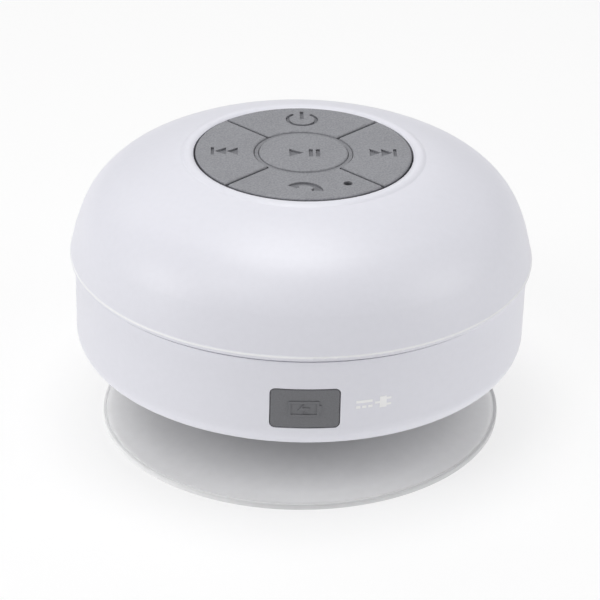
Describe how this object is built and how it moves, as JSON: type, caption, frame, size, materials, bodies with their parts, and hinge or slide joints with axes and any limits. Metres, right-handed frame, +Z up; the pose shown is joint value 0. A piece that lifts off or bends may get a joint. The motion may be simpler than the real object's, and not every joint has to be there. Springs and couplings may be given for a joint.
{
  "type": "shower speaker",
  "caption": "Round wireless shower speaker: domed case with a rubber keypad on top, a covered charging port in its band, a downward-firing driver and a suction cup base.",
  "frame": {"origin": "centre of the suction cup rim plane, where the speaker stands", "axes": "+Z up through the keypad, -Y towards the charging port cover, +X to the right when facing the cover"},
  "size_m": [0.086, 0.086, 0.0536],
  "materials": {
    "shell_white": "soft-touch matt white",
    "seal_grey": "dark grey rubber",
    "key_grey": "matt mid-grey silicone",
    "cover_grey": "matt dark grey silicone",
    "cup_clear": "frosted translucent soft PVC",
    "print_white": "pale printed ink",
    "white_nylon": "natural nylon",
    "black_plastic": "black moulded plastic",
    "board_green": "green solder mask",
    "chip_black": "black epoxy",
    "steel": "zinc plated steel",
    "can_metal": "drawn aluminium can",
    "ferrite": "sintered ferrite",
    "copper": "enamelled copper wire",
    "cone_paper": "pressed paper",
    "surround_foam": "soft rubber",
    "spider_cloth": "resin-dipped cloth",
    "mesh_cloth": "fine water-shedding mesh",
    "foam_black": "closed-cell foam",
    "cell_foil": "laminated foil",
    "tape_white": "double-sided tape",
    "wire_red": "red wire sleeve",
    "wire_black": "black wire sleeve",
    "light_lens": "clear light package"
  },
  "bodies": {
    "cup_body": {"suction_cup": "cup_clear"},
    "stud_body": {"cup_stud": "white_nylon", "stud_ring": "seal_grey"},
    "housing": {"amplifier_chip": "chip_black", "battery_board": "board_green", "battery_cell": "cell_foil", "battery_leads": "wire_red", "battery_tape": "tape_white", "battery_tray": "white_nylon", "board_capacitors": "can_metal", "board_resistors": "chip_black", "board_screws": "steel", "bottom_shell": "shell_white", "case_screws": "steel", "charge_board": "board_green", "charge_chip": "chip_black", "charge_leads": "wire_red", "crystal": "can_metal", "driver_basket": "steel", "driver_gasket": "foam_black", "driver_magnet": "ferrite", "driver_plate": "steel", "driver_screws": "steel", "driver_yoke": "steel", "inductor": "ferrite", "key_board": "board_green", "key_switches": "black_plastic", "keypad_frame": "white_nylon", "keypad_web": "key_grey", "lead_connectors": "white_nylon", "microphone": "can_metal", "microphone_boot": "seal_grey", "radio_chip": "chip_black", "shell_seal": "seal_grey", "socket_shell": "steel", "socket_tongue": "black_plastic", "speaker_leads": "wire_black", "speaker_mesh": "mesh_cloth", "spider": "spider_cloth", "status_light": "light_lens", "surround": "surround_foam", "terminal_strip": "board_green", "top_shell": "shell_white", "tray_screws": "steel"},
    "key_play_body": {"key_play": "key_grey", "plunger_play": "white_nylon"},
    "key_power_body": {"key_power": "key_grey", "plunger_power": "white_nylon"},
    "key_previous_body": {"key_previous": "key_grey", "plunger_previous": "white_nylon"},
    "key_next_body": {"key_next": "key_grey", "plunger_next": "white_nylon"},
    "key_call_body": {"key_call": "key_grey", "plunger_call": "white_nylon"},
    "cone_body": {"cone": "cone_paper", "dust_cap": "cone_paper", "coil_former": "can_metal", "voice_coil": "copper"},
    "cover_body": {"port_cover": "cover_grey", "cover_strap": "cover_grey"}
  },
  "joints": [
    {"name": "press_play", "type": "slide", "parent": "housing", "child": "key_play_body", "axis": [0, 0, -1], "range_m": [0, 0.0003], "stiffness_N_per_m": 3000},
    {"name": "press_power", "type": "slide", "parent": "housing", "child": "key_power_body", "axis": [0, 0, -1], "range_m": [0, 0.0003], "stiffness_N_per_m": 3000},
    {"name": "press_previous", "type": "slide", "parent": "housing", "child": "key_previous_body", "axis": [0, 0, -1], "range_m": [0, 0.0003], "stiffness_N_per_m": 3000},
    {"name": "press_next", "type": "slide", "parent": "housing", "child": "key_next_body", "axis": [0, 0, -1], "range_m": [0, 0.0003], "stiffness_N_per_m": 3000},
    {"name": "press_call", "type": "slide", "parent": "housing", "child": "key_call_body", "axis": [0, 0, -1], "range_m": [0, 0.0003], "stiffness_N_per_m": 3000},
    {"name": "cone_travel", "type": "slide", "parent": "housing", "child": "cone_body", "axis": [0, 0, 1], "range_m": [-0.0008, 0.0008], "stiffness_N_per_m": 1200, "deforming": ["spider", "surround"]},
    {"name": "cover_hinge", "type": "hinge", "parent": "housing", "child": "cover_body", "pos_m": [-0.0061, -0.0415, 0.02341], "axis": [0, 0, -1], "range_deg": [0, 110], "deforming": ["cover_strap"]},
    {"name": "cup_turn", "type": "hinge", "parent": "cup_body", "child": "stud_body", "pos_m": [0, 0, 0.0095], "axis": [0, 0, 1], "continuous": true},
    {"name": "stud_pull", "type": "slide", "parent": "stud_body", "child": "housing", "axis": [0, 0, 1], "range_m": [0, 0.012]}
  ]
}
